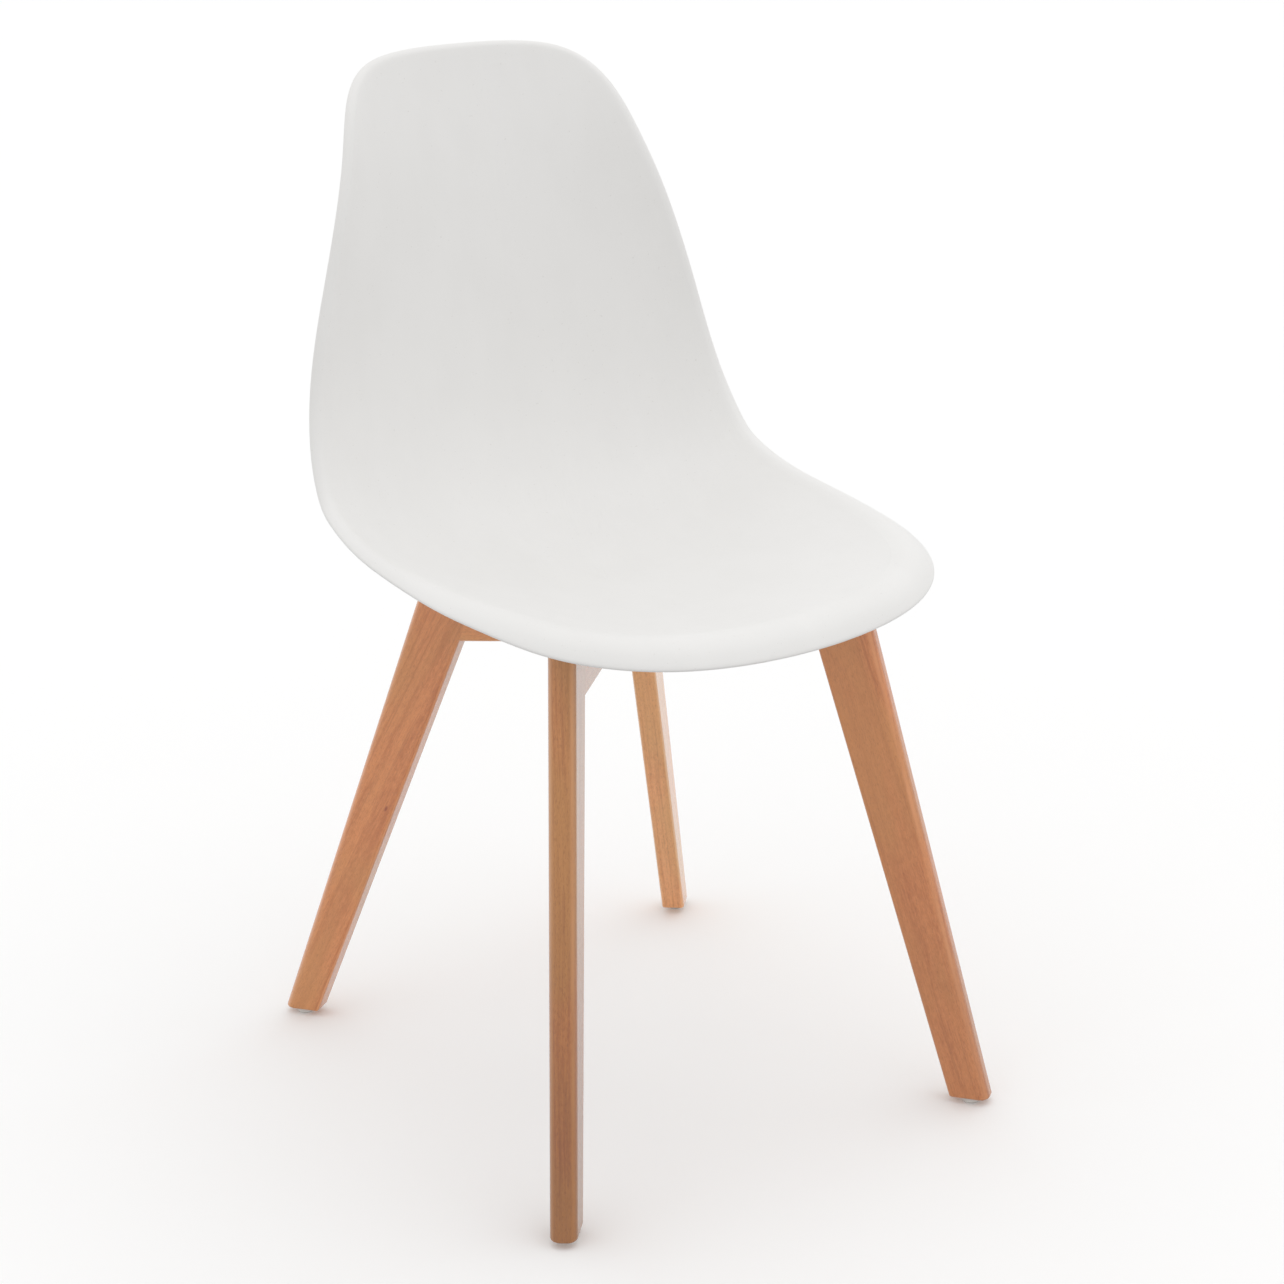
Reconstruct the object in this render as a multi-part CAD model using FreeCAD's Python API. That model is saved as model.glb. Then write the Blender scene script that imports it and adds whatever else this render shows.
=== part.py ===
import FreeCAD, Part
import bisect
import math
import os

V = FreeCAD.Vector

# All lengths in millimetres, +Z up, the chair faces -Y, the floor is z = 0.
# The base is two flat leg frames crossed on plan; "r" is a distance measured along
# a frame from the crossing, positive towards the front of the chair.
PLAN_ANGLE = 39.4        # frame direction, degrees from the Y axis
CROSSING_Y = 5.0         # where the two frames cross on the mid plane
DATUM_Y = 1.7            # shift that puts the origin at the middle of the plan
PLANK_T = 21.0           # thickness of every wooden member

FRONT_FOOT_R = 299.0     # leg centre line at floor level
FRONT_FOOT_W = 32.5      # leg width at floor level
FRONT_WIDEN = 0.0388     # growth of the width per mm of height
FRONT_RAKE = 0.260       # inward travel of the centre line per mm of height
FRONT_TOP_Z = 432.0
BACK_FOOT_R = 306.0
BACK_FOOT_W = 32.5
BACK_WIDEN = 0.0475
BACK_RAKE = 0.420
BACK_TOP_Z = 404.0
LEG_CUT_Z = 5.0          # sawn foot, held off the floor by the glide
OUTER_EDGE_R = 8.0       # rounding of the long edges on the outside of the legs
EDGE_R = 3.0             # rounding of the other long edges
FOOT_EDGE_R = 2.0
LONG_EDGE = 100.0        # any edge longer than this runs along a board
MATCH = 0.01             # slack when an edge is picked by its length

RAIL_LOW_Z = 371.5       # underside of the rails at the crossing
RAIL_H = 36.0
RAIL_SLOPE = 0.074       # rails climb towards the front

DOWEL_D = 8.0
DOWEL_L = 36.0
DOWEL_CHAMFER = 1.0
DOWEL_UP = (10.0, 26.0)  # dowel heights above the rail's underside

BOLT_R = (115.0, -80.0)  # seat bolts, one near each end of each rail
BOLT_D = 6.0
BOLT_L = 45.0
BOLT_CLEAR_D = 6.6
BOLT_HEAD_D = 11.0
BOLT_HEAD_H = 3.6
BOLT_HEAD_ROUND = 2.2
BOLT_TIP_CHAMFER = 0.7
HEX_SOCKET = 4.0         # across flats
HEX_DEPTH = 2.2
WASHER_D = 14.0
WASHER_T = 1.5
INSERT_D = 9.0
INSERT_L = 9.0
BOSS_D = 19.0            # posts under the shell that take the inserts
BOSS_REACH = 90.0        # tall enough to meet the shell from any rail

LAP_SCREW_D = 4.0
LAP_SCREW_L = 30.0
LAP_HEAD_D = 8.0
LAP_POINT_L = 4.0
LAP_RECESS = (5.0, 1.0, 1.2)  # length, width and depth of the cross recess
NOTCH_REACH = 60.0       # half length of the tool that halves a rail

GLIDE_D = 15.5
GLIDE_FOOT_D = 13.0
GLIDE_TAPER_H = 2.0
GLIDE_ROUND = 0.8
NAIL_D = 2.4
NAIL_L = 17.0
NAIL_HEAD_D = 6.0
NAIL_HEAD_T = 1.0
NAIL_POINT_L = 3.0
NAIL_RECESS = 1.5        # depth the nail's head is sunk into the glide
POINT_R = 0.2            # blunt end of a nail or screw point

# Seat shell: a dished sheet of constant wall swept about a side profile.
WALL = 4.5
LIP_SWEEP = 75.0         # degrees the rim rolls over
LIP_SHARES = (0.0, 0.25, 0.5, 0.75, 1.0)
NOSE = (2.2, 3.0)        # reach of the control points that round the rim's edge
STATIONS = 96            # control points round the rim
TRACE = 1920             # straight steps used to space them evenly
RING_STEPS = (0.0, 0.05, 0.14, 0.26, 0.38, 0.5, 0.62, 0.73, 0.82, 0.89, 0.945, 0.98)
HUB = 520.0              # distance down the profile of the middle of the control net
RIM_SPLIT = 10.5         # span of the control net where the rim's own faces start
# Side profile of the sitter's face on the mid plane, (y, z), top to front.
PROFILE = [(217, 827), (198, 760), (185, 690), (178, 620), (173, 560), (160, 501),
           (130, 453), (80, 429), (0, 422), (-80, 426), (-150, 434), (-200, 442),
           (-236, 448)]
# Half outline of the sheet before its lip, (half width, distance down the profile).
OUTLINE = [(0, 4), (60, 8), (91, 19), (110, 42), (124, 80), (139, 124), (155, 173),
           (170, 226), (181, 281), (188, 340), (190, 420), (190, 500), (185, 570),
           (174, 633), (160, 683), (142, 718), (107, 742), (57, 751), (0, 754)]
# Rise of the cross-section at 200 mm from the mid plane, against distance down.
CURL = [(-40, 92), (0, 92), (60, 106), (123, 91), (172, 70), (225, 54), (280, 50),
        (335, 55), (430, 62), (500, 58), (570, 54), (636, 51), (691, 47), (740, 39),
        (800, 39)]
CURL_POWER = 2.2
# Radius of the rolled rim against distance down the profile.
LIP = [(-40, 6), (0, 6), (280, 7), (420, 9), (560, 14), (640, 21), (700, 25), (735, 27),
       (800, 29)]


def natural_spline(knots, values):
    """Second derivatives of the natural cubic spline through the values."""
    n = len(knots)
    second = [0.0] * n
    work = [0.0] * n
    for i in range(1, n - 1):
        left = knots[i] - knots[i - 1]
        right = knots[i + 1] - knots[i]
        share = left / (left + right)
        pivot = share * second[i - 1] + 2.0
        second[i] = (share - 1.0) / pivot
        jump = (values[i + 1] - values[i]) / right - (values[i] - values[i - 1]) / left
        work[i] = (6.0 * jump / (left + right) - share * work[i - 1]) / pivot
    second[n - 1] = 0.0
    for i in range(n - 2, -1, -1):
        second[i] = second[i] * second[i + 1] + work[i]
    return second


class Curve:
    """Cubic spline of any number of coordinates over increasing knots."""

    def __init__(self, knots, points):
        self.knots = [float(k) for k in knots]
        self.rows = [[float(p[a]) for p in points] for a in range(len(points[0]))]
        self.seconds = [natural_spline(self.knots, row) for row in self.rows]

    def at(self, t):
        i = min(max(bisect.bisect_right(self.knots, t) - 1, 0), len(self.knots) - 2)
        h = self.knots[i + 1] - self.knots[i]
        a = (self.knots[i + 1] - t) / h
        b = 1.0 - a
        out = []
        for row, second in zip(self.rows, self.seconds):
            bend = (a ** 3 - a) * second[i] + (b ** 3 - b) * second[i + 1]
            out.append(a * row[i] + b * row[i + 1] + bend * h * h / 6.0)
        return out


def chord_knots(points):
    knots = [0.0]
    for p, q in zip(points, points[1:]):
        knots.append(knots[-1] + math.dist(p, q))
    return knots


PROFILE_CURVE = Curve(chord_knots(PROFILE), PROFILE)
CURL_CURVE = Curve([p[0] for p in CURL], [(p[1],) for p in CURL])
LIP_CURVE = Curve([p[0] for p in LIP], [(p[1],) for p in LIP])


def sheet_point(x, down):
    """Sitter's face of the shell at half width x, a distance down the profile."""
    y, z = PROFILE_CURVE.at(down)
    y0, z0 = PROFILE_CURVE.at(down - 1.0)
    y1, z1 = PROFILE_CURVE.at(down + 1.0)
    ty, tz = y1 - y0, z1 - z0
    length = math.hypot(ty, tz)
    rise = CURL_CURVE.at(down)[0] * (abs(x) / 200.0) ** CURL_POWER
    return V(x, y + rise * tz / length, z - rise * ty / length)


def sheet_normal(x, down):
    across = sheet_point(x + 0.5, down) - sheet_point(x - 0.5, down)
    along = sheet_point(x, down + 0.5) - sheet_point(x, down - 0.5)
    normal = along.cross(across)
    return normal.normalize()


def rim_outline():
    """Closed outline of the sheet, evenly spaced stations starting at the top."""
    right = [(float(a), float(b)) for a, b in OUTLINE]
    left = [(-a, b) for a, b in reversed(right[1:-1])]
    ring = right + left
    pad = 4
    points = ring[-pad:] + ring + ring[:pad + 1]
    knots = chord_knots(points)
    curve = Curve(knots, points)
    start, end = knots[pad], knots[pad + len(ring)]
    dense = [curve.at(start + (end - start) * i / TRACE) for i in range(TRACE + 1)]
    travel = chord_knots(dense)
    stations = []
    for k in range(STATIONS):
        target = travel[-1] * k / STATIONS
        i = max(bisect.bisect_left(travel, target), 1)
        f = (target - travel[i - 1]) / (travel[i] - travel[i - 1])
        p, q = dense[i - 1], dense[i]
        stations.append((p[0] + (q[0] - p[0]) * f, p[1] + (q[1] - p[1]) * f))
    return stations


def shell_columns():
    """Control points of each station: hub, sitter's face, rim, back face, hub."""
    stations = rim_outline()
    columns = []
    for k, (x, down) in enumerate(stations):
        inner = []
        outer = []
        for s in RING_STEPS:
            px, pd = x * s, HUB + (down - HUB) * s
            normal = sheet_normal(px, pd)
            point = sheet_point(px, pd)
            inner.append(point)
            outer.append(point - normal * WALL)
        before = stations[k - 1]
        after = stations[(k + 1) % STATIONS]
        edge = sheet_point(x, down)
        normal = sheet_normal(x, down)
        along = (sheet_point(*after) - sheet_point(*before)).normalize()
        out = along.cross(normal).normalize()
        if out.dot(edge - sheet_point(x * 0.9, HUB + (down - HUB) * 0.9)) < 0:
            out = out * -1.0
        radius = LIP_CURVE.at(down)[0]
        centre = edge - normal * radius
        for share in LIP_SHARES:
            angle = math.radians(LIP_SWEEP * share)
            ray = normal * math.cos(angle) + out * math.sin(angle)
            inner.append(centre + ray * radius)
            outer.append(centre + ray * (radius - WALL))
        turn = math.radians(LIP_SWEEP)
        ray = normal * math.cos(turn) + out * math.sin(turn)
        ahead = out * math.cos(turn) - normal * math.sin(turn)
        nose = [inner[-1] + ahead * NOSE[0], inner[-1] - ray * (WALL / 2) + ahead * NOSE[1],
                outer[-1] + ahead * NOSE[0]]
        columns.append(inner + nose + list(reversed(outer)))
    return columns


def shell_surface(columns):
    spans = len(columns[0]) - 3
    surface = Part.BSplineSurface()
    surface.buildFromPolesMultsKnots(
        columns, [1] * (STATIONS + 1), [4] + [1] * (spans - 1) + [4],
        list(range(STATIONS + 1)), list(range(spans + 1)), True, False, 3, 3)
    return surface


def shell_sheet():
    """Solid bounded by one bicubic surface closed round the rim, in sectors."""
    columns = shell_columns()
    spans = len(columns[0]) - 3
    bands = [(0, RIM_SPLIT), (RIM_SPLIT, spans - RIM_SPLIT), (spans - RIM_SPLIT, spans)]
    quarter = STATIONS // 4
    faces = []
    for k in range(4):
        for low, high in bands:
            piece = shell_surface(columns)
            piece.segment(quarter * k, quarter * (k + 1), low, high)
            faces.append(piece.toShape())
    skin = Part.Compound(faces)
    skin.sewShape()
    solid = Part.Solid(skin.Shells[0])
    if solid.Volume < 0:
        solid.reverse()
    return solid


def frame_axes(side):
    """Direction towards the front foot and the plank normal; side is -1 or +1."""
    angle = math.radians(PLAN_ANGLE)
    forward = V(side * math.sin(angle), -math.cos(angle), 0)
    return forward, V(-forward.y, forward.x, 0)


def frame_point(side, r, z, off=0.0):
    forward, normal = frame_axes(side)
    return V(0, CROSSING_Y, z) + forward * r + normal * off


def plank(side, outline, thickness=PLANK_T):
    """Flat board standing in a frame's plane, outline given as (r, z)."""
    points = [frame_point(side, r, z, -thickness / 2) for r, z in outline]
    face = Part.Face(Part.makePolygon(points + points[:1]))
    return face.extrude(frame_axes(side)[1] * thickness)


def front_edges(z):
    centre = FRONT_FOOT_R - FRONT_RAKE * z
    half = (FRONT_FOOT_W + FRONT_WIDEN * z) / 2
    return centre - half, centre + half


def back_edges(z):
    centre = -(BACK_FOOT_R - BACK_RAKE * z)
    half = (BACK_FOOT_W + BACK_WIDEN * z) / 2
    return centre + half, centre - half


def rail_z(r, up=0.0):
    return RAIL_LOW_Z + up + RAIL_SLOPE * r


def meet(edges, up):
    """Where a leg's inner edge crosses the line a height up the rail."""
    low, high = 300.0, 460.0
    for _ in range(60):
        z = (low + high) / 2
        if z < rail_z(edges(z)[0], up):
            low = z
        else:
            high = z
    return edges(z)[0], z


def leg_outline(edges, top_z):
    """Corners of a leg, its inner edge at both ends of the list."""
    inner0, outer0 = edges(LEG_CUT_Z)
    slope = RAIL_SLOPE * (edges(top_z)[1] - edges(top_z)[0])
    return [(inner0, LEG_CUT_Z), (outer0, LEG_CUT_Z),
            (edges(top_z + slope)[1], top_z + slope), (edges(top_z)[0], top_z)]


def rail_outline():
    return [meet(back_edges, 0.0), meet(front_edges, 0.0),
            meet(front_edges, RAIL_H), meet(back_edges, RAIL_H)]


def eased_frame(side):
    """Two legs and the rail between them as one board, its long edges rounded.

    The boards are rounded together after gluing, so that the rounding runs from
    leg to rail round the inner corner and leaves the joint itself flush. The outer
    edges are rounded so far that a leg's outer face is nearly a half round.
    """
    front = leg_outline(front_edges, FRONT_TOP_Z)
    back = leg_outline(back_edges, BACK_TOP_Z)
    low_back, low_front, high_front, high_back = rail_outline()
    body = plank(side, back + [high_back, high_front] + front[::-1] + [low_front, low_back])
    outer_lengths = [math.dist(front[1], front[2]), math.dist(back[1], back[2])]

    def is_outer(edge):
        return any(abs(edge.Length - length) < MATCH for length in outer_lengths)

    inner = [e for e in body.Edges
             if e.Length > LONG_EDGE and e.BoundBox.ZMin < rail_z(0.0) and not is_outer(e)]
    body = body.makeFillet(EDGE_R, inner)
    body = body.makeFillet(OUTER_EDGE_R, [e for e in body.Edges if is_outer(e)])
    low = [e for e in body.Edges if e.BoundBox.ZMax < LEG_CUT_Z + 0.1]
    return body.makeFillet(FOOT_EDGE_R, low)


def rail_axis(side):
    """Direction along the rail, level with its sloping edges."""
    length = math.hypot(1.0, RAIL_SLOPE)
    return frame_axes(side)[0] * (1 / length) + V(0, 0, RAIL_SLOPE / length)


def dowel(side, edges, up):
    """Glued dowel across the joint between a rail's end and a leg."""
    axis = rail_axis(side)
    start = frame_point(side, *meet(edges, up)) - axis * (DOWEL_L / 2)
    pin = Part.makeCylinder(DOWEL_D / 2, DOWEL_L, start, axis)
    ends = [e for e in pin.Edges if e.Closed]
    return pin.makeChamfer(DOWEL_CHAMFER, ends)


def dowel_hole(side, edges, up):
    axis = rail_axis(side)
    start = frame_point(side, *meet(edges, up)) - axis * (DOWEL_L / 2)
    return Part.makeCylinder(DOWEL_D / 2, DOWEL_L, start, axis)


def joint_holes(side, edges):
    return [dowel_hole(side, edges, up) for up in DOWEL_UP]


def nail_axis(side, edges):
    inner, outer = edges(LEG_CUT_Z)
    return frame_point(side, (inner + outer) / 2, 0)


def leg(side, edges, top_z):
    board = eased_frame(side).common(plank(side, leg_outline(edges, top_z), PLANK_T + 1))
    for hole in joint_holes(side, edges):
        board = board.cut(hole)
    base = nail_axis(side, edges)
    return board.cut(Part.makeCylinder(NAIL_D / 2, NAIL_L, base, V(0, 0, 1)))


def tilted_axis(side):
    """Direction square to the rails' edges."""
    length = math.hypot(1.0, RAIL_SLOPE)
    forward = frame_axes(side)[0]
    return forward * (-RAIL_SLOPE / length) + V(0, 0, 1 / length)


def bolt_base(side, r):
    """Foot of a seat bolt's axis on the underside of the rail."""
    return frame_point(side, r, rail_z(r))


def rail(side, notch_up):
    body = eased_frame(side).common(plank(side, rail_outline(), PLANK_T + 1))
    half = RAIL_H / 2
    low, high = (half, RAIL_H + 10) if notch_up else (-10, half)
    ends = (-NOTCH_REACH, NOTCH_REACH)
    slot = plank(-side, [(r, rail_z(r, low)) for r in ends]
                 + [(r, rail_z(r, high)) for r in reversed(ends)])
    body = body.cut(slot)
    for edges in (front_edges, back_edges):
        for hole in joint_holes(side, edges):
            body = body.cut(hole)
    for r in BOLT_R:
        start = bolt_base(side, r) - tilted_axis(side) * 5
        body = body.cut(Part.makeCylinder(BOLT_CLEAR_D / 2, RAIL_H + 10, start,
                                          tilted_axis(side)))
    return body.cut(lap_screw())


def lap_axis():
    return V(0, RAIL_SLOPE / math.cos(math.radians(PLAN_ANGLE)), 1).normalize()


def lap_screw():
    """Countersunk wood screw up through the middle of the crossing."""
    axis = lap_axis()
    start = frame_point(1, 0, rail_z(0))
    depth = (LAP_HEAD_D - LAP_SCREW_D) / 2
    head = Part.makeCone(LAP_HEAD_D / 2, LAP_SCREW_D / 2, depth, start, axis)
    straight = LAP_SCREW_L - LAP_POINT_L
    shank = Part.makeCylinder(LAP_SCREW_D / 2, straight, start, axis)
    tip = Part.makeCone(LAP_SCREW_D / 2, POINT_R, LAP_POINT_L, start + axis * straight, axis)
    return head.fuse([shank, tip]).removeSplitter()


def lap_screw_piece():
    start = frame_point(1, 0, rail_z(0))
    axis = lap_axis()
    length, width, depth = LAP_RECESS
    bars = [Part.makeBox(a, b, 2 * depth, V(-a / 2, -b / 2, -depth))
            for a, b in ((length, width), (width, length))]
    recess = bars[0].fuse(bars[1])
    recess.Placement = FreeCAD.Placement(start, FreeCAD.Rotation(V(0, 0, 1), axis))
    return lap_screw().cut(recess)


def hexagon(base, axis, across, depth):
    ring = [V(across / math.sqrt(3) * math.cos(math.pi * k / 3),
              across / math.sqrt(3) * math.sin(math.pi * k / 3), 0) for k in range(7)]
    prism = Part.Face(Part.makePolygon(ring)).extrude(V(0, 0, depth))
    prism.Placement = FreeCAD.Placement(base, FreeCAD.Rotation(V(0, 0, 1), axis))
    return prism


def seat_bolt(side, r):
    """Button-head bolt standing up through washer, rail and insert."""
    axis = tilted_axis(side)
    seat = bolt_base(side, r) - axis * WASHER_T
    head = Part.makeCylinder(BOLT_HEAD_D / 2, BOLT_HEAD_H, seat - axis * BOLT_HEAD_H, axis)
    rim = [e for e in head.Edges if abs((e.CenterOfMass - seat).dot(axis)) > 1
           and e.Closed]
    head = head.makeFillet(BOLT_HEAD_ROUND, rim)
    shank = Part.makeCylinder(BOLT_D / 2, BOLT_L, seat, axis)
    tip = [e for e in shank.Edges if e.Closed and (e.CenterOfMass - seat).dot(axis) > 1]
    shank = shank.makeChamfer(BOLT_TIP_CHAMFER, tip)
    bolt = head.fuse(shank).removeSplitter()
    return bolt.cut(hexagon(seat - axis * BOLT_HEAD_H, axis, HEX_SOCKET, HEX_DEPTH))


def washer(side, r):
    axis = tilted_axis(side)
    base = bolt_base(side, r) - axis * WASHER_T
    disc = Part.makeCylinder(WASHER_D / 2, WASHER_T, base, axis)
    return disc.cut(Part.makeCylinder(BOLT_CLEAR_D / 2, WASHER_T, base, axis))


def insert_base(side, r):
    return bolt_base(side, r) + tilted_axis(side) * RAIL_H


def insert_blank(side, r):
    return Part.makeCylinder(INSERT_D / 2, INSERT_L, insert_base(side, r),
                             tilted_axis(side))


def threaded_insert(side, r):
    axis = tilted_axis(side)
    bore = Part.makeCylinder(BOLT_D / 2, INSERT_L, insert_base(side, r), axis)
    return insert_blank(side, r).cut(bore)


def under_part(tool, sheet):
    """The piece of a tool that lies below the shell."""
    pieces = tool.cut(sheet).Solids
    return min(pieces, key=lambda piece: piece.CenterOfMass.z)


def seat_shell():
    sheet = shell_sheet()
    for side in (-1, 1):
        for r in BOLT_R:
            axis = tilted_axis(side)
            base = insert_base(side, r)
            post = Part.makeCylinder(BOSS_D / 2, BOSS_REACH, base, axis)
            sheet = sheet.fuse(under_part(post, sheet))
    for side in (-1, 1):
        for r in BOLT_R:
            sheet = sheet.cut(insert_blank(side, r))
    return sheet


def glide(side, edges):
    base = nail_axis(side, edges)
    foot = Part.makeCone(GLIDE_FOOT_D / 2, GLIDE_D / 2, GLIDE_TAPER_H, base, V(0, 0, 1))
    disc = Part.makeCylinder(GLIDE_D / 2, LEG_CUT_Z - GLIDE_TAPER_H,
                             base + V(0, 0, GLIDE_TAPER_H))
    body = foot.fuse(disc).removeSplitter()
    low = [e for e in body.Edges if e.Closed and e.BoundBox.ZMax < 0.1]
    body = body.makeFillet(GLIDE_ROUND, low)
    for cut in nail_solids(base):
        body = body.cut(cut)
    return body.cut(Part.makeCylinder(NAIL_HEAD_D / 2, NAIL_RECESS, base, V(0, 0, 1)))


def nail_solids(base):
    head = Part.makeCylinder(NAIL_HEAD_D / 2, NAIL_HEAD_T, base + V(0, 0, NAIL_RECESS))
    straight = NAIL_L - NAIL_RECESS - NAIL_POINT_L
    shank = Part.makeCylinder(NAIL_D / 2, straight, base + V(0, 0, NAIL_RECESS))
    tip = Part.makeCone(NAIL_D / 2, POINT_R, NAIL_POINT_L, base + V(0, 0, NAIL_L - NAIL_POINT_L))
    return head, shank, tip


def nail(side, edges):
    head, shank, tip = nail_solids(nail_axis(side, edges))
    return head.fuse([shank, tip]).removeSplitter()


def write(name, shape):
    shape.translate(V(0, DATUM_Y, 0))
    shape.exportStep("parts/" + name + ".step")


os.makedirs("parts", exist_ok=True)
CORNERS = {"front_left": (1, front_edges, FRONT_TOP_Z),
           "front_right": (-1, front_edges, FRONT_TOP_Z),
           "back_left": (-1, back_edges, BACK_TOP_Z),
           "back_right": (1, back_edges, BACK_TOP_Z)}
BOLTS = [(side, r) for side in (-1, 1) for r in BOLT_R]

write("seat_shell", seat_shell())
for corner, (side, edges, top_z) in CORNERS.items():
    write("leg_" + corner, leg(side, edges, top_z))
    write("glide_" + corner, glide(side, edges))
write("rail_lower", rail(1, True))
write("rail_upper", rail(-1, False))
write("leg_dowels", Part.makeCompound(
    [dowel(side, edges, up) for side, edges, _ in CORNERS.values() for up in DOWEL_UP]))
write("glide_nails", Part.makeCompound([nail(s, e) for s, e, _ in CORNERS.values()]))
write("seat_bolts", Part.makeCompound([seat_bolt(*b) for b in BOLTS]))
write("bolt_washers", Part.makeCompound([washer(*b) for b in BOLTS]))
write("threaded_inserts", Part.makeCompound([threaded_insert(*b) for b in BOLTS]))
write("lap_screw", lap_screw_piece())
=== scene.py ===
import math

import bpy
import numpy as np
from mathutils import Matrix, Vector

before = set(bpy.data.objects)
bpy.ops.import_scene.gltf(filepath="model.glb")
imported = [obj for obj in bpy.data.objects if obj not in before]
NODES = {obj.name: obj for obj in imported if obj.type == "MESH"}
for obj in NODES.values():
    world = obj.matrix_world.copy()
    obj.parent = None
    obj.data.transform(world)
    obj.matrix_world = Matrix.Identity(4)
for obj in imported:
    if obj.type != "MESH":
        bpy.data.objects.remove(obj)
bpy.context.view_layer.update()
scene = bpy.context.scene

# Metres and degrees: +Z is up, the chair faces -Y and the floor is z = 0.

# ---------------------------------------------------------------- camera and light

CAMERA_AT = (-0.98396, -1.72955, 1.03143)
CAMERA_YAW = -30.03             # about Z, from looking along +Y
CAMERA_PITCH = 18.474           # below the horizon
CAMERA_ROLL = 2.235
CAMERA_SENSOR = 36.0            # mm
CAMERA_LENS = 73.18             # mm
CAMERA_SHIFT = (0.0083, 0.0030)
CAMERA_CLIP = (0.05, 100.0)
FLOOR_HALF = 30.0
FLOOR_PAINT = ((0.925, 0.925, 0.923), (0.94, 0.94, 0.938))
KEY_TOWARD = (0.30, -0.05, 0.95)
KEY_STRENGTH = 0.30
KEY_SPREAD = 60.0
SKY_TOP = (0.12, 0.12, 0.985)   # direction in which the sky is brightest
SKY_LOW = 0.62                  # its strength straight below, with 1 at the top
SKY_FULL = 0.6                  # cosine of the angle from SKY_TOP where it reaches 1

# ---------------------------------------------------------------- node helpers


class Tree:
    """A material under construction, with short ways to add and join its nodes."""

    def __init__(self, name):
        self.material = bpy.data.materials.new(name)
        self.material.use_nodes = True
        self.nodes = self.material.node_tree.nodes
        self.links = self.material.node_tree.links
        self.nodes.clear()
        self.shader = self.add("ShaderNodeBsdfPrincipled")
        out = self.add("ShaderNodeOutputMaterial")
        self.links.new(self.shader.outputs["BSDF"], out.inputs["Surface"])

    def add(self, kind, **settings):
        node = self.nodes.new(kind)
        for key, value in settings.items():
            setattr(node, key, value)
        return node

    def put(self, socket, value):
        if isinstance(value, bpy.types.NodeSocket):
            self.links.new(value, socket)
        else:
            socket.default_value = value

    def math(self, operation, a, b=0.0):
        node = self.add("ShaderNodeMath", operation=operation)
        self.put(node.inputs[0], a)
        self.put(node.inputs[1], b)
        return node.outputs[0]

    def plus(self, a, b):
        return self.math("ADD", a, b)

    def minus(self, a, b):
        return self.math("SUBTRACT", a, b)

    def times(self, a, b):
        return self.math("MULTIPLY", a, b)

    def blend(self, *parts):
        """Sum of each part times its weight, from (part, weight) pairs."""
        total = self.times(*parts[0])
        for part, weight in parts[1:]:
            total = self.plus(total, self.times(part, weight))
        return total

    def vector(self, operation, a, b=(0.0, 0.0, 0.0), out="Vector"):
        node = self.add("ShaderNodeVectorMath", operation=operation)
        self.put(node.inputs[0], a)
        if operation != "LENGTH":
            self.put(node.inputs[1], b)
        return node.outputs[out]

    def combine(self, x, y, z):
        node = self.add("ShaderNodeCombineXYZ")
        for socket, value in zip(node.inputs, (x, y, z)):
            self.put(socket, value)
        return node.outputs[0]

    def noise(self, vector, scale, detail=2.0, rough=0.5):
        node = self.add("ShaderNodeTexNoise")
        self.put(node.inputs["Vector"], vector)
        node.inputs["Scale"].default_value = scale
        node.inputs["Detail"].default_value = detail
        node.inputs["Roughness"].default_value = rough
        return node.outputs["Fac"]

    def ramp(self, value, *stops):
        """Piecewise linear from (place, grey) stops."""
        node = self.add("ShaderNodeValToRGB")
        self.put(node.inputs["Fac"], value)
        band = node.color_ramp
        while len(band.elements) < len(stops):
            band.elements.new(0.5)
        for element, (place, grey) in zip(band.elements, stops):
            element.position = place
            element.color = (grey, grey, grey, 1.0)
        return node.outputs["Color"]

    def smooth(self, value, low, high, to_low=0.0, to_high=1.0):
        """Eases from to_low to to_high as the value goes from low to high."""
        node = self.add("ShaderNodeMapRange", interpolation_type="SMOOTHSTEP")
        for socket, number in zip(node.inputs, (value, low, high, to_low, to_high)):
            self.put(socket, number)
        return node.outputs[0]

    def mix(self, share, a, b, kind="MIX"):
        node = self.add("ShaderNodeMix", data_type="RGBA", blend_type=kind)
        self.put(node.inputs[0], share)
        self.put(node.inputs[6], a)
        self.put(node.inputs[7], b)
        return node.outputs[2]

    def cover(self, colour, over, mask, share):
        """The colour with a share of another laid over it where the mask is."""
        return self.mix(self.times(mask, share), colour, over)

    def bump(self, height, strength, distance):
        node = self.add("ShaderNodeBump")
        self.put(node.inputs["Height"], height)
        node.inputs["Strength"].default_value = strength
        node.inputs["Distance"].default_value = distance
        self.links.new(node.outputs["Normal"], self.shader.inputs["Normal"])

    def place(self):
        return self.add("ShaderNodeTexCoord").outputs["Object"]


def rgb(r, g, b):
    return (r, g, b, 1.0)


def tinted(colour, tint):
    """The colour times a tint of three channels."""
    return rgb(*[channel * share for channel, share in zip(colour, tint)])


def shaded(colour, share):
    return tinted(colour, (share, share, share))


def wear_material(node, material):
    for slot in node.material_slots:
        slot.material = material


# ---------------------------------------------------------------- beech


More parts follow.
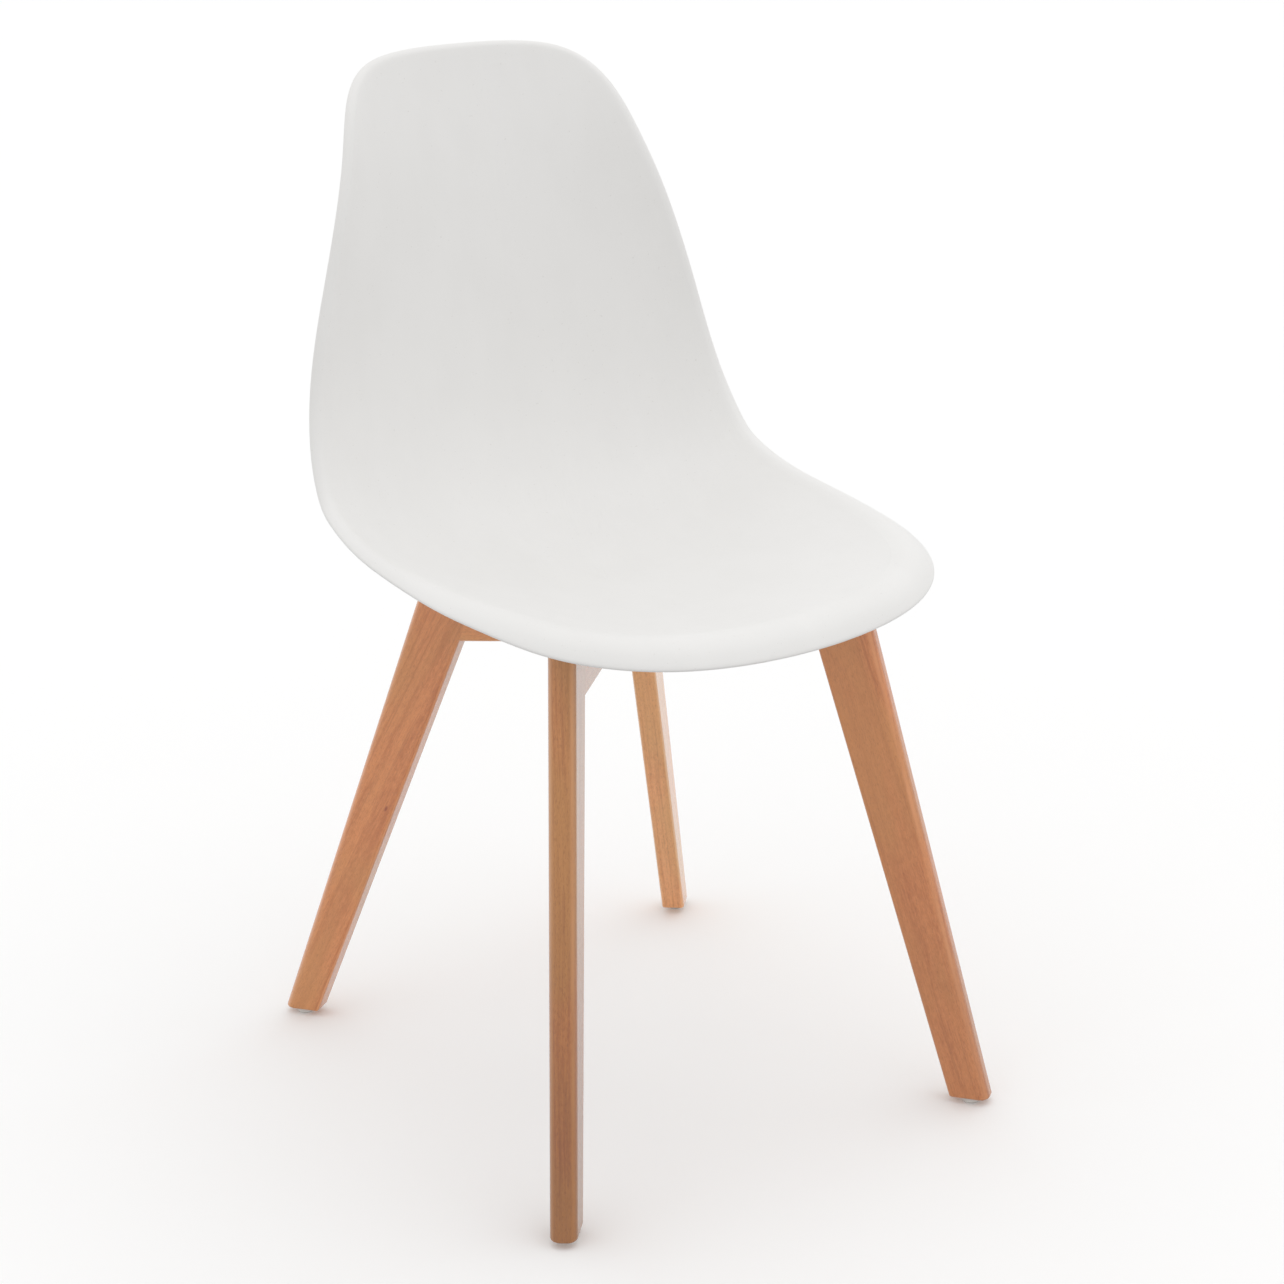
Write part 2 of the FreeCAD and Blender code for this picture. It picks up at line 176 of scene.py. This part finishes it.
def plank_axes(node):
    """Centre of a board's surface and its grain, width and thickness directions."""
    mesh = node.data
    mesh.calc_loop_triangles()
    at = np.array([v.co for v in mesh.vertices])
    tri = np.array([t.vertices for t in mesh.loop_triangles])
    a, b, c = at[tri[:, 0]], at[tri[:, 1]], at[tri[:, 2]]
    cross = np.cross(b - a, c - a)
    area = np.linalg.norm(cross, axis=1) / 2
    normal = cross / np.maximum(2 * area[:, None], 1e-12)
    thick = np.linalg.eigh((normal * area[:, None]).T @ normal)[1][:, -1]
    middle = (a + b + c) / 3
    centre = (middle * area[:, None]).sum(0) / area.sum()
    flat = middle - centre
    flat = flat - np.outer(flat @ thick, thick)
    grain = np.linalg.eigh((flat * area[:, None]).T @ flat)[1][:, -1]
    if grain[2] < 0:
        grain = -grain
    wide = np.cross(thick, grain)
    return centre, grain, wide, thick


LIGHT_WOOD = (0.755, 0.280, 0.091)
DARK_WOOD = (0.535, 0.163, 0.043)
# Noise drawn in the wood: cycles per metre along, across and through the fibre, detail, roughness.
FIGURES = {
    "drift": ((3.0, 9.0, 9.0), 2.0, 0.5),
    "golden": ((6.0, 20.0, 20.0), 2.0, 0.5),
    "slow": ((9.0, 38.0, 38.0), 3.0, 0.55),
    "fibre": ((26.0, 700.0, 700.0), 4.0, 0.65),
    "streak": ((7.0, 330.0, 330.0), 1.0, 0.5),
    "fleck": ((300.0, 2300.0, 1500.0), 0.0, 0.5),
    "pore": ((420.0, 4200.0, 4200.0), 0.0, 0.5),
    "mottle": ((160.0, 420.0, 420.0), 3.0, 0.6),
}
SEED_STEP = 0.37                # metres that the noise moves along the board per unit of its seed
RINGS = 290.0                   # growth rings per metre from the pith
RING_WANDER = 0.03              # metres the drift bends a ring
RING_UNEVEN = (110.0, 2.4)      # cycles per metre, and rings, by which their spacing varies
LATE_WOOD = ((0.0, 0.35), (0.12, 0.0), (0.55, 0.08), (0.90, 1.0), (1.0, 0.4))
SHADE = {"late": 0.18, "slow": 0.40, "fibre": 0.60, "mottle": 0.55}
SHADE_SPAN = (0.59, 1.13)       # sum of SHADE where the wood is still light and where it is dark
GOLDEN_SPAN = (0.40, 0.64)
GOLDEN = (0.80, 0.94, 0.84)     # tint of the broad golden areas
GOLDEN_SHARE = 0.60
# Dark marks: noise where they start and are full, share that they cover, shade of the dark wood.
MARKS = {
    "streak": (0.63, 0.74, 0.28, 0.75),
    "fleck": (0.60, 0.72, 0.30, 0.62),
    "pore": (0.60, 0.70, 0.16, 0.50),
}
KNOT = (0.30, 0.050, 0.012)
KNOT_LONG = 0.45                # its width over its length
KNOT_RIM = (0.0005, 0.0018)     # metres from its centre where it starts to fade and is gone
KNOT_SHARE = 0.85
# Roundings are painted paler and less red: partly rubbed wear, partly a painted highlight where the
# lacquer catches light.
ARRIS = (0.74, 0.94)            # facing of the nearer flat where a rounding is palest and where it is not; that pale is rubbed wear and painted highlight
ARRIS_WEAR_AND_HIGHLIGHT_TINT = (1.07, 1.25, 1.60)
ARRIS_REDDEST = 0.9
RUBBED_AND_HIGHLIGHT = (0.35, 0.65, 0.30, 0.80)    # slow noise from and to, and how much of the arris it paints pale, as rubbed wear and painted highlight
END_GRAIN = (0.72, 0.93)        # how far the surface faces along the board
END_DEPTH = 0.7                 # shade of the dark wood
END_SHARE = 0.45
FOOT_SHADE_SPAN = (-0.20, 0.14)       # metres along the board over which the painted shade at its foot fades
WOOD_ROUGH = 0.30
WOOD_RELIEF = (0.35, 0.00018)   # strength and metres
LACQUER_IOR = 1.5
LACQUER_WEIGHT = 0.9
LACQUER_ROUGH = 0.14


def fibre_axes(t, axes, run_out):
    """Places along, across and through the fibre, which may run out of the board."""
    centre, grain, wide, thick = axes
    slant = math.radians(run_out)
    fibre_way = grain * math.cos(slant) + wide * math.sin(slant)
    fibre_side = wide * math.cos(slant) - grain * math.sin(slant)
    local = t.vector("SUBTRACT", t.place(), tuple(centre))
    return [t.vector("DOT_PRODUCT", local, tuple(way), out="Value")
            for way in (fibre_way, fibre_side, thick)]


def wood_figures(t, place, seed):
    """Every noise of FIGURES by its name."""
    along, across, deep = place
    shifted = t.plus(along, seed * SEED_STEP)
    figures = {}
    for name, (cycles, detail, rough) in FIGURES.items():
        at = t.combine(*[t.times(a, b) for a, b in zip((shifted, across, deep), cycles)])
        figures[name] = t.noise(at, 1.0, detail, rough)
    return figures


def late_wood(t, place, pith, seed, drift):
    """Where the darker part of each growth ring is, round a pith beside the plank."""
    _, across, deep = place
    bend = t.times(t.minus(drift, 0.5), RING_WANDER)
    radius = t.vector("LENGTH", t.combine(0.0, t.plus(t.minus(across, pith[0]), bend),
                                          t.minus(deep, pith[1])), out="Value")
    uneven = t.noise(t.combine(t.times(radius, RING_UNEVEN[0]), seed, 0.0), 1.0, 1.0)
    rings = t.plus(t.times(radius, RINGS), t.times(uneven, RING_UNEVEN[1]))
    return t.ramp(t.math("FRACT", rings), *LATE_WOOD)


def facing(t, axes):
    """How far the surface faces across, through and along the board, from 0 to 1."""
    _, grain, wide, thick = axes
    normal = t.add("ShaderNodeNewGeometry").outputs["Normal"]
    return [t.math("ABSOLUTE", t.vector("DOT_PRODUCT", normal, tuple(way), out="Value"))
            for way in (wide, thick, grain)]


def beech(name, axes, pith, seed, tint, foot_shade, run_out, knot):
    """Lacquered beech: growth rings, fine fibre, ray flecks, pores and arrises painted pale, partly
    rubbed wear and partly painted highlight.

    tint is the board's own tone, on leg_back_left partly painted light; foot_shade the tint of painted
    shade it darkens to at its lower end, run_out the angle between its fibre and its length, and knot a
    pin knot's place along and across.
    """
    t = Tree(name)
    light = tinted(LIGHT_WOOD, tint)
    dark = tinted(DARK_WOOD, tint)
    place = fibre_axes(t, axes, run_out)
    along, across, _ = place
    figures = wood_figures(t, place, seed)
    figures["late"] = late_wood(t, place, pith, seed, figures["drift"])
    shade = t.blend(*[(figures[part], weight) for part, weight in SHADE.items()])
    colour = t.mix(t.smooth(shade, *SHADE_SPAN), light, dark)
    golden = t.smooth(figures["golden"], *GOLDEN_SPAN)
    colour = t.cover(colour, tinted(light, GOLDEN), golden, GOLDEN_SHARE)
    marks = {}
    for mark, (start, full, share, depth) in MARKS.items():
        marks[mark] = t.smooth(figures[mark], start, full)
        colour = t.cover(colour, shaded(dark, depth), marks[mark], share)
    if knot:
        off = t.combine(t.times(t.minus(along, knot[0]), KNOT_LONG), t.minus(across, knot[1]), 0.0)
        reach = t.vector("LENGTH", off, out="Value")
        colour = t.mix(t.smooth(reach, *KNOT_RIM, KNOT_SHARE, 0.0), colour, rgb(*KNOT))
    side, face, end = facing(t, axes)
    # Painted highlight and rubbed wear: the roundings of the board are painted paler.
    arris = t.smooth(t.math("MAXIMUM", side, face), *ARRIS, 1.0, 0.0)
    rubbed_and_highlight = t.times(arris, t.smooth(figures["slow"], *RUBBED_AND_HIGHLIGHT))
    pale_and_highlight = tinted(light, ARRIS_WEAR_AND_HIGHLIGHT_TINT)
    colour = t.mix(rubbed_and_highlight, colour, rgb(min(pale_and_highlight[0], ARRIS_REDDEST), pale_and_highlight[1], pale_and_highlight[2]))
    # Painted shade: each board darkens towards its lower end, by its foot tint.
    colour = t.mix(t.smooth(along, *FOOT_SHADE_SPAN, 1.0, 0.0), colour, rgb(*foot_shade), "MULTIPLY")
    end = t.smooth(end, *END_GRAIN)
    colour = t.cover(colour, shaded(dark, END_DEPTH), end, END_SHARE)
    t.put(t.shader.inputs["Base Color"], colour)
    rough = t.plus(t.blend((figures["fibre"], 0.14), (marks["pore"], 0.08)), WOOD_ROUGH)
    t.put(t.shader.inputs["Roughness"], t.plus(t.times(end, 0.18), rough))
    t.shader.inputs["IOR"].default_value = LACQUER_IOR
    t.shader.inputs["Coat Weight"].default_value = LACQUER_WEIGHT
    t.shader.inputs["Coat Roughness"].default_value = LACQUER_ROUGH
    t.shader.inputs["Coat IOR"].default_value = LACQUER_IOR
    height = t.blend((figures["fibre"], 0.6), (marks["pore"], -0.5), (figures["late"], -0.25))
    t.bump(height, *WOOD_RELIEF)
    return t.material


NO_TINT = (1.0, 1.0, 1.0)
# node, pith across and behind the plank (m), seed, tint of the board, painted shade tint of its foot,
# run-out, pin knot
PLANKS = (
    ("leg_front_right", (0.018, 0.075), 1.3, (0.83, 0.88, 0.77), (0.62, 0.52, 0.30), 0.6, None),
    ("leg_back_right", (-0.012, 0.060), 2.1, NO_TINT, NO_TINT, -6.0, (-0.007, -0.012)),
    ("leg_front_left", (0.006, -0.058), 3.7, (1.00, 0.97, 0.93), (0.80, 0.80, 0.79), 1.5, None),
    # leg_back_left's pale, yellow tint is partly the board's own tone and partly painted light, for the
    # brighter light on its inner face.
    ("leg_back_left", (0.030, 0.090), 4.9, (1.30, 1.60, 1.95), NO_TINT, -1.0, None),
    ("rail_lower", (0.010, 0.070), 5.6, (1.05, 1.12, 1.15), NO_TINT, 1.2, None),
    ("rail_upper", (-0.016, -0.064), 6.4, (0.92, 0.92, 0.90), NO_TINT, -1.5, None),
)
for name, *board in PLANKS:
    wear_material(NODES[name], beech("beech_" + name, plank_axes(NODES[name]), *board))

# ---------------------------------------------------------------- dowels


DOWEL_WOOD = ((0.72, 0.50, 0.30), (0.50, 0.30, 0.16))    # light and dark
DOWEL_FIBRE = (1600.0, 1600.0, 900.0)


def raw_dowel():
    t = Tree("raw_beech_dowel")
    at = t.place()
    fibre = t.noise(t.vector("MULTIPLY", at, DOWEL_FIBRE), 1.0, 3.0, 0.6)
    slow = t.noise(at, 90.0, 2.0)
    light, dark = DOWEL_WOOD
    share = t.blend((fibre, 0.6), (slow, 0.4))
    t.put(t.shader.inputs["Base Color"], t.mix(share, rgb(*light), rgb(*dark)))
    t.put(t.shader.inputs["Roughness"], t.plus(t.times(fibre, 0.2), 0.6))
    t.bump(fibre, 0.4, 0.0001)
    return t.material


wear_material(NODES["leg_dowels"], raw_dowel())

# ---------------------------------------------------------------- moulded shell


SHELL_TONES = ((0.800, 0.792, 0.778), (0.822, 0.814, 0.801))
SHELL_FLOW = (34.0, 12.0, 12.0)      # cycles per metre across, forwards and up
SHELL_RUB = (60.0, 210.0, 60.0)
SHELL_SPECK = (0.52, 0.50, 0.47)
SHELL_IOR = 1.49
SHELL_SPECULAR = 0.30
SHELL_ROUGH = 0.40
SHELL_RELIEF = (0.16, 0.00022)


def shell_plastic():
    """White satin polypropylene: fine spark-eroded texture, faint flow marks and rubbed patches."""
    t = Tree("white_shell_plastic")
    at = t.place()
    flow = t.noise(t.vector("MULTIPLY", at, SHELL_FLOW), 1.0, 3.0, 0.55)
    tone = t.blend((t.noise(at, 7.0, 3.0, 0.6), 0.6), (flow, 0.4))
    colour = t.mix(t.smooth(tone, 0.30, 0.72), rgb(*SHELL_TONES[0]), rgb(*SHELL_TONES[1]))
    speck = t.smooth(t.noise(at, 620.0, 0.0), 0.80, 0.86)
    t.put(t.shader.inputs["Base Color"], t.cover(colour, rgb(*SHELL_SPECK), speck, 0.22))
    cloud = t.noise(at, 22.0, 4.0, 0.6)
    rub = t.smooth(t.noise(t.vector("MULTIPLY", at, SHELL_RUB), 1.0, 2.0), 0.60, 0.74)
    rough = t.plus(t.times(cloud, 0.12), SHELL_ROUGH)
    t.put(t.shader.inputs["Roughness"], t.plus(rough, t.times(rub, 0.05)))
    t.shader.inputs["IOR"].default_value = SHELL_IOR
    t.shader.inputs["Specular IOR Level"].default_value = SHELL_SPECULAR
    grain = t.noise(at, 1500.0, 2.0, 0.6)
    long_wave = t.noise(at, 9.0, 1.0)
    t.bump(t.blend((grain, 0.5), (long_wave, 0.6)), *SHELL_RELIEF)
    return t.material


wear_material(NODES["seat_shell"], shell_plastic())

# ---------------------------------------------------------------- glides and metal


GLIDE_TONES = ((0.56, 0.52, 0.485), (0.68, 0.65, 0.62))
GLIDE_DIRT = (0.42, 0.38, 0.34)
GLIDE_DIRT_UP = 0.0022          # height the dirt reaches
GLIDE_IOR = 1.53
ZINC = ((0.70, 0.71, 0.72), (0.50, 0.50, 0.50))          # bright and dull
BRASS = ((0.83, 0.64, 0.30), (0.62, 0.44, 0.19))
ZINC_TURNED = (500.0, 500.0, 4200.0)
BRASS_TURNED = (500.0, 500.0, 5200.0)


def glide_plastic():
    """Pale plastic, scuffed and dirtier where it meets the floor."""
    t = Tree("glide_plastic")
    at = t.place()
    cloud = t.noise(at, 260.0, 3.0, 0.6)
    height = t.vector("DOT_PRODUCT", at, (0.0, 0.0, 1.0), out="Value")
    clean = t.smooth(height, 0.0, GLIDE_DIRT_UP)
    colour = t.mix(cloud, rgb(*GLIDE_TONES[0]), rgb(*GLIDE_TONES[1]))
    t.put(t.shader.inputs["Base Color"], t.mix(clean, rgb(*GLIDE_DIRT), colour))
    t.put(t.shader.inputs["Roughness"], t.plus(t.times(cloud, 0.25), 0.28))
    t.shader.inputs["IOR"].default_value = GLIDE_IOR
    t.bump(cloud, 0.3, 0.0001)
    return t.material


def metal(name, tones, streak, rough):
    """Turned or plated metal, streaked round its axis and stained in places."""
    bright, dull = tones
    t = Tree(name)
    at = t.place()
    turned = t.noise(t.vector("MULTIPLY", at, streak), 1.0, 3.0, 0.6)
    stain = t.noise(at, 240.0, 3.0, 0.65)
    t.put(t.shader.inputs["Base Color"], t.mix(t.smooth(stain, 0.35, 0.75), rgb(*bright), rgb(*dull)))
    t.shader.inputs["Metallic"].default_value = 1.0
    t.put(t.shader.inputs["Roughness"], t.plus(t.times(turned, 0.22), rough))
    t.bump(turned, 0.25, 0.00005)
    return t.material


glide = glide_plastic()
for name in ("glide_front_left", "glide_front_right", "glide_back_left", "glide_back_right"):
    wear_material(NODES[name], glide)
zinc = metal("zinc_plated_steel", ZINC, ZINC_TURNED, 0.24)
for name in ("seat_bolts", "bolt_washers", "lap_screw", "glide_nails"):
    wear_material(NODES[name], zinc)
brass = metal("turned_brass", BRASS, BRASS_TURNED, 0.22)
wear_material(NODES["threaded_inserts"], brass)

# ---------------------------------------------------------------- floor, light and camera


def floor_plane():
    mesh = bpy.data.meshes.new("studio_floor")
    corners = [(x * FLOOR_HALF, y * FLOOR_HALF, 0.0) for x, y in ((-1, -1), (1, -1), (1, 1), (-1, 1))]
    mesh.from_pydata(corners, [], [(0, 1, 2, 3)])
    floor = bpy.data.objects.new("studio_floor", mesh)
    scene.collection.objects.link(floor)
    t = Tree("studio_floor_paint")
    mottle = t.noise(t.place(), 1.2, 3.0)
    t.put(t.shader.inputs["Base Color"], t.mix(mottle, rgb(*FLOOR_PAINT[0]), rgb(*FLOOR_PAINT[1])))
    t.shader.inputs["Roughness"].default_value = 0.9
    mesh.materials.append(t.material)
    floor.visible_diffuse = False     # the sky's lower half stands in for its bounce


def soft_sun(name, toward, strength, spread):
    """A distant softbox: light from the direction "toward", as wide as spread degrees."""
    lamp = bpy.data.lights.new(name, "SUN")
    lamp.energy = strength
    lamp.angle = math.radians(spread)
    thing = bpy.data.objects.new(name, lamp)
    thing.rotation_mode = "QUATERNION"
    thing.rotation_quaternion = Vector(toward).to_track_quat("Z", "Y")
    scene.collection.objects.link(thing)


def studio_sky():
    """White all round, fading smoothly to a weaker white below."""
    world = bpy.data.worlds.new("studio")
    scene.world = world
    world.use_nodes = True
    tree = world.node_tree
    background = tree.nodes["Background"]
    background.inputs["Color"].default_value = rgb(1.0, 1.0, 1.0)
    height = tree.nodes.new("ShaderNodeVectorMath")
    height.operation = "DOT_PRODUCT"
    height.inputs[1].default_value = SKY_TOP
    tree.links.new(tree.nodes.new("ShaderNodeTexCoord").outputs["Generated"], height.inputs[0])
    fade = tree.nodes.new("ShaderNodeMapRange")
    fade.interpolation_type = "SMOOTHSTEP"
    for socket, number in zip(list(fade.inputs)[1:5], (-1.0, SKY_FULL, SKY_LOW, 1.0)):
        socket.default_value = number
    tree.links.new(height.outputs["Value"], fade.inputs[0])
    tree.links.new(fade.outputs[0], background.inputs["Strength"])


def place_camera():
    camera = bpy.data.objects.new("camera", bpy.data.cameras.new("camera"))
    scene.collection.objects.link(camera)
    scene.camera = camera
    yaw, pitch, roll = (math.radians(a) for a in (CAMERA_YAW, CAMERA_PITCH, CAMERA_ROLL))
    look = Vector((-math.sin(yaw) * math.cos(pitch), math.cos(yaw) * math.cos(pitch), -math.sin(pitch)))
    level = Vector((math.cos(yaw), math.sin(yaw), 0.0))
    down = look.cross(level)
    right = math.cos(roll) * level + math.sin(roll) * down
    down = math.cos(roll) * down - math.sin(roll) * level
    turn = Matrix((right, -down, -look)).transposed()
    camera.matrix_world = Matrix.Translation(CAMERA_AT) @ turn.to_4x4()
    camera.data.sensor_width = CAMERA_SENSOR
    camera.data.lens = CAMERA_LENS
    camera.data.shift_x, camera.data.shift_y = CAMERA_SHIFT
    camera.data.clip_start, camera.data.clip_end = CAMERA_CLIP
    camera.data.dof.use_dof = False


floor_plane()
studio_sky()
soft_sun("key", KEY_TOWARD, KEY_STRENGTH, KEY_SPREAD)
place_camera()
scene.view_settings.view_transform = "Standard"
